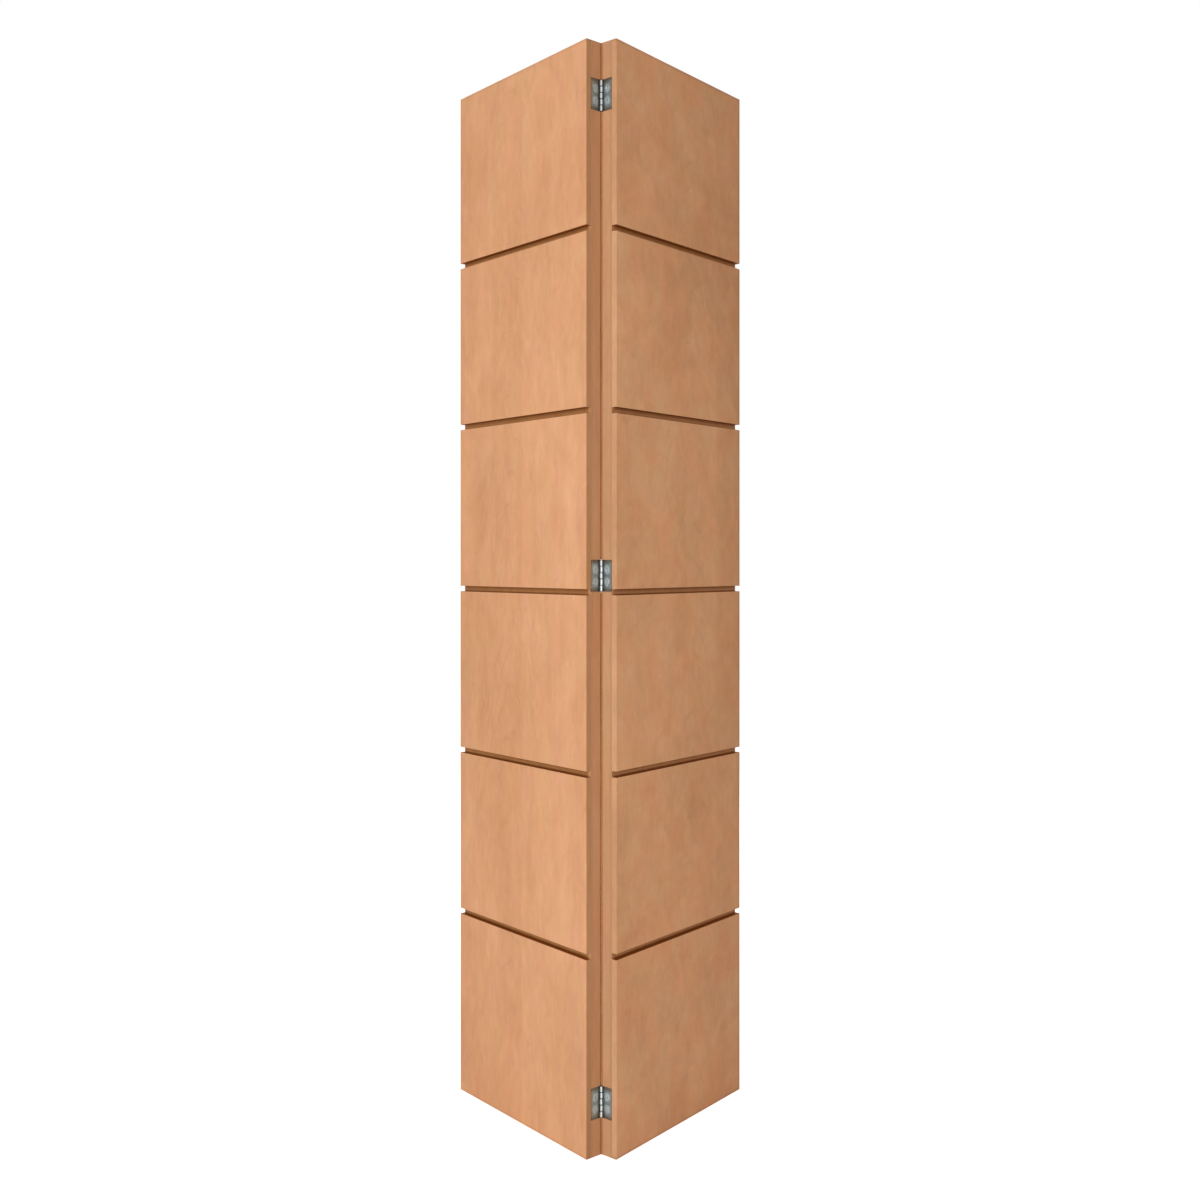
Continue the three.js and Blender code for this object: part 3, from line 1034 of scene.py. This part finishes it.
def screw_shape(turn):
    """A countersunk wood screw along x, with a cross recess turned by an angle."""
    face = LEAF_FACES[0]
    cone_end = face + SCREW_HEAD_LIP + SCREW_HEAD_RADIUS - SCREW_SHANK_RADIUS
    neck_end = cone_end + NECK_LENGTH
    head = lathe(
        [
            (0, face),
            (SCREW_HEAD_RADIUS - HEAD_EASE, face),
            (SCREW_HEAD_RADIUS, face + HEAD_EASE_DEPTH),
            (SCREW_HEAD_RADIUS, face + SCREW_HEAD_LIP),
            (SCREW_SHANK_RADIUS, cone_end),
            (SCREW_SHANK_RADIUS, neck_end),
            (0, neck_end),
        ],
        "X",
    )
    steps = [("UNION", thread_shape(neck_end - NECK_OVERLAP, face + SCREW_LENGTH))]
    for quarter in (0, 1):
        recess = bmesh.new()
        corners = []
        for place, share in zip((face + RECESS_START, face + RECESS_DEPTH), RECESS_SHARES):
            reach = RECESS_REACH * share
            half = RECESS_WIDTH / 2 * (1 - RECESS_TAPER + RECESS_TAPER * share)
            for y, z in ((-reach, -half), (reach, -half), (reach, half), (-reach, half)):
                corners.append(recess.verts.new((place, y, z)))
        for ring in BOX_FACES:
            recess.faces.new([corners[i] for i in ring])
        bmesh.ops.recalc_face_normals(recess, faces=recess.faces)
        bmesh.ops.transform(
            recess,
            matrix=Matrix.Rotation(turn + quarter * math.pi / 2, 4, "X"),
            verts=recess.verts,
        )
        steps.append(("DIFFERENCE", recess))
    return combined(head, steps)


def hinge_height(which):
    return sum(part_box(f"{which}_hinge_pin"), Vector()).z / 2 / MM


draw = random.Random(7)
for which in ("top", "middle", "bottom"):
    height = hinge_height(which)
    for side, first in (("left", 0), ("right", 1)):
        plate_zinc = zinc(
            f"{which}_{side}_zinc_plate", LEAF_SHADED_AND_LIT_COLOURS[side], 0.46, centre=height, side=side
        )
        screw_zinc = zinc(f"{which}_{side}_screw_zinc", SCREW_SHADED_AND_LIT_COLOURS[side], 0.42, brushed=0.4)
        body = f"{side}_panel"
        node = f"{which}_hinge_{side}_leaf"
        finish_piece(
            leaf_shape(first), f"{node}_piece", side, height, body, node, plate_zinc
        )
        for position, offset in SCREW_OFFSETS.items():
            node = f"{which}_hinge_{side}_{position}_screw"
            shape = moved(screw_shape(draw.uniform(0, math.pi / 2)), y=SCREW_DEPTH)
            finish_piece(
                shape,
                f"{node}_piece",
                side,
                height + offset,
                body,
                node,
                screw_zinc,
            )
    node = f"{which}_hinge_pin"
    finish_piece(
        pin_shape(), f"{node}_piece", "left", height, "left_panel", node, plate_zinc
    )


# Floor and surroundings: white to the camera, pale to the light, and the floor keeps a soft shadow

WHITE = (1.0, 1.0, 1.0, 1.0)
AMBIENT = 0.3
FLOOR_REACH = 9.0
FLOOR_GLOW = 0.76
FLOOR_DROP = 0.2


def seen_straight(look_tree):
    """1 for rays that show the surroundings: from the camera, or off metal, or through glass."""
    path = look_tree.nodes.new("ShaderNodeLightPath")
    total = None
    for ray in ("Is Camera Ray", "Is Glossy Ray", "Is Transmission Ray"):
        if total is None:
            total = path.outputs[ray]
            continue
        largest = look_tree.nodes.new("ShaderNodeMath")
        largest.operation = "MAXIMUM"
        look_tree.links.new(total, largest.inputs[0])
        look_tree.links.new(path.outputs[ray], largest.inputs[1])
        total = largest.outputs[0]
    return total


world = bpy.data.worlds.new("studio")
bpy.context.scene.world = world
world.use_nodes = True
surroundings = world.node_tree.nodes["Background"]
surroundings.inputs["Color"].default_value = WHITE
strength = world.node_tree.nodes.new("ShaderNodeMapRange")
world.node_tree.links.new(seen_straight(world.node_tree), strength.inputs["Value"])
strength.inputs["To Min"].default_value = AMBIENT
strength.inputs["To Max"].default_value = 1.0
world.node_tree.links.new(strength.outputs[0], surroundings.inputs["Strength"])

floor_mesh = bpy.data.meshes.new("floor")
floor_shape = bmesh.new()
bmesh.ops.create_grid(floor_shape, x_segments=2, y_segments=2, size=FLOOR_REACH)
floor_shape.to_mesh(floor_mesh)
floor_shape.free()
floor = bpy.data.objects.new("floor", floor_mesh)
floor.location.z = -FLOOR_DROP * MM
bpy.context.scene.collection.objects.link(floor)

floor_look = Look("floor")
floor_tone = floor_look.noise(
    floor_look.scaled(floor_look.node("ShaderNodeTexCoord").outputs["Object"], (3.0, 3.0, 3.0))
)
floor_look.set(
    floor_look.shader.inputs["Base Color"],
    floor_look.tint(linear("ebebea"), floor_look.math("MULTIPLY_ADD", floor_tone, 0.004, 1.0)),
)
floor_look.shader.inputs["Roughness"].default_value = 0.8
glow = floor_look.node("ShaderNodeEmission", {"Color": WHITE})
floor_look.set(
    glow.inputs["Strength"], floor_look.math("MULTIPLY", seen_straight(floor_look.tree), FLOOR_GLOW)
)
lit = floor_look.node("ShaderNodeAddShader")
floor_look.set(lit.inputs[0], floor_look.shader.outputs[0])
floor_look.set(lit.inputs[1], glow.outputs[0])
floor_look.set(floor_look.tree.nodes["Material Output"].inputs["Surface"], lit.outputs[0])
floor_mesh.materials.append(floor_look.material)


# Lamps

LAMP_TARGET = Vector((0, 0, 1.0))


def lamp(name, place, width, height, power, mirrored=True):
    """A soft rectangular lamp turned to the door's middle, seen in metal only if mirrored."""
    light = bpy.data.lights.new(name, "AREA")
    light.shape = "RECTANGLE"
    light.size = width
    light.size_y = height
    light.energy = power
    made = bpy.data.objects.new(name, light)
    made.location = place
    made.visible_glossy = mirrored
    made.rotation_euler = (LAMP_TARGET - Vector(place)).to_track_quat("-Z", "Y").to_euler()
    bpy.context.scene.collection.objects.link(made)


lamp("key", (-2.2, -5.65, 1.1), width=1.5, height=2.1, power=290, mirrored=False)
lamp("fill", (1.1, -2.2, 1.05), width=0.8, height=2.0, power=9.4)
lamp("back", (1.2, 3.4, 2.2), width=1.5, height=1.5, power=52, mirrored=False)


# Camera: level, a little above the door's middle, and fitted to the photograph's edges

CAMERA_DISTANCE = 2.31931
CAMERA_SIDE = -0.01886
CAMERA_HEIGHT = 1.0739

camera_data = bpy.data.cameras.new("camera")
camera_data.sensor_width = 36
camera_data.lens = 38.52
camera_data.shift_x = 0.00765
camera_data.shift_y = -0.0336
camera = bpy.data.objects.new("camera", camera_data)
camera.location = (CAMERA_SIDE, PIN_AXIS.y - CAMERA_DISTANCE, CAMERA_HEIGHT)
camera.rotation_euler = (math.pi / 2, 0, 0)
bpy.context.scene.collection.objects.link(camera)
bpy.context.scene.camera = camera

bpy.context.scene.view_settings.view_transform = "Standard"
